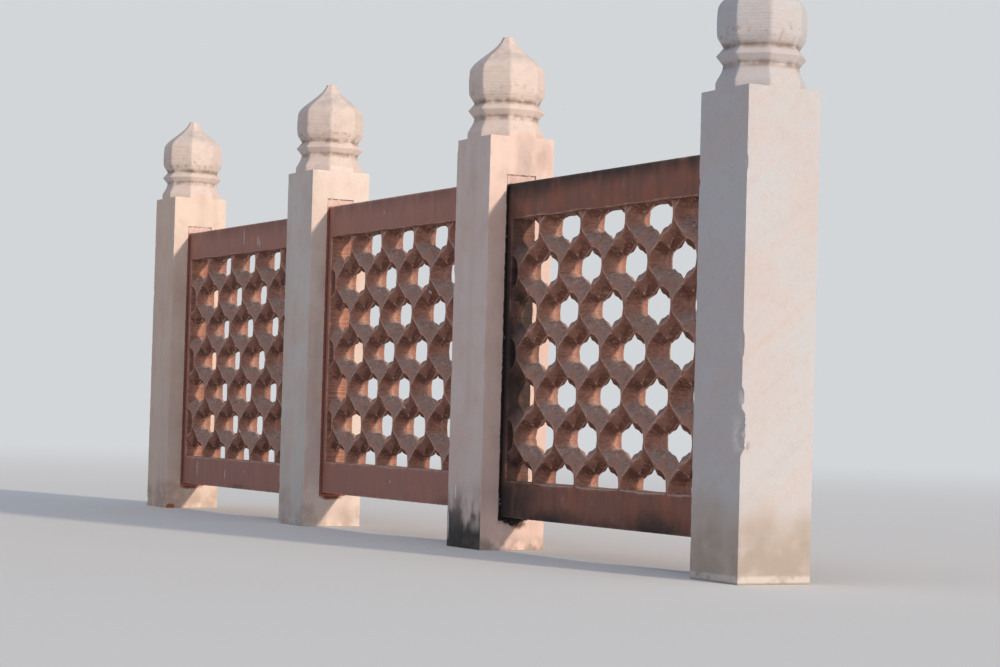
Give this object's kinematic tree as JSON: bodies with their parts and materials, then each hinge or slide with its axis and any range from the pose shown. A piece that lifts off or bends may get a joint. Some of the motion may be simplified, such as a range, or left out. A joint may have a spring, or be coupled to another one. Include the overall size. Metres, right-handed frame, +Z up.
{
  "type": "stone balustrade",
  "caption": "Low stone balustrade: square posts with octagonal bulb finials and pierced lattice panels set in mortises, guarding an edge.",
  "frame": {"origin": "centre of the foot of post_1, on the ground", "axes": "+X along the run towards post_4, -Y out of the outer face that the picture shows, +Z up"},
  "size_m": [2.451, 0.125, 0.89],
  "materials": {
    "post_stone": "sawn and rubbed pale pink sandstone",
    "panel_stone": "carved red-brown sandstone",
    "mortar": "rough raked lime mortar"
  },
  "bodies": {
    "root": {"post_1": "post_stone", "post_2": "post_stone", "post_3": "post_stone", "post_4": "post_stone", "panel_1": "panel_stone", "panel_2": "panel_stone", "panel_3": "panel_stone", "mortar_1_left": "mortar", "mortar_1_right": "mortar", "mortar_2_left": "mortar", "mortar_2_right": "mortar", "mortar_3_left": "mortar", "mortar_3_right": "mortar"}
  },
  "joints": []
}
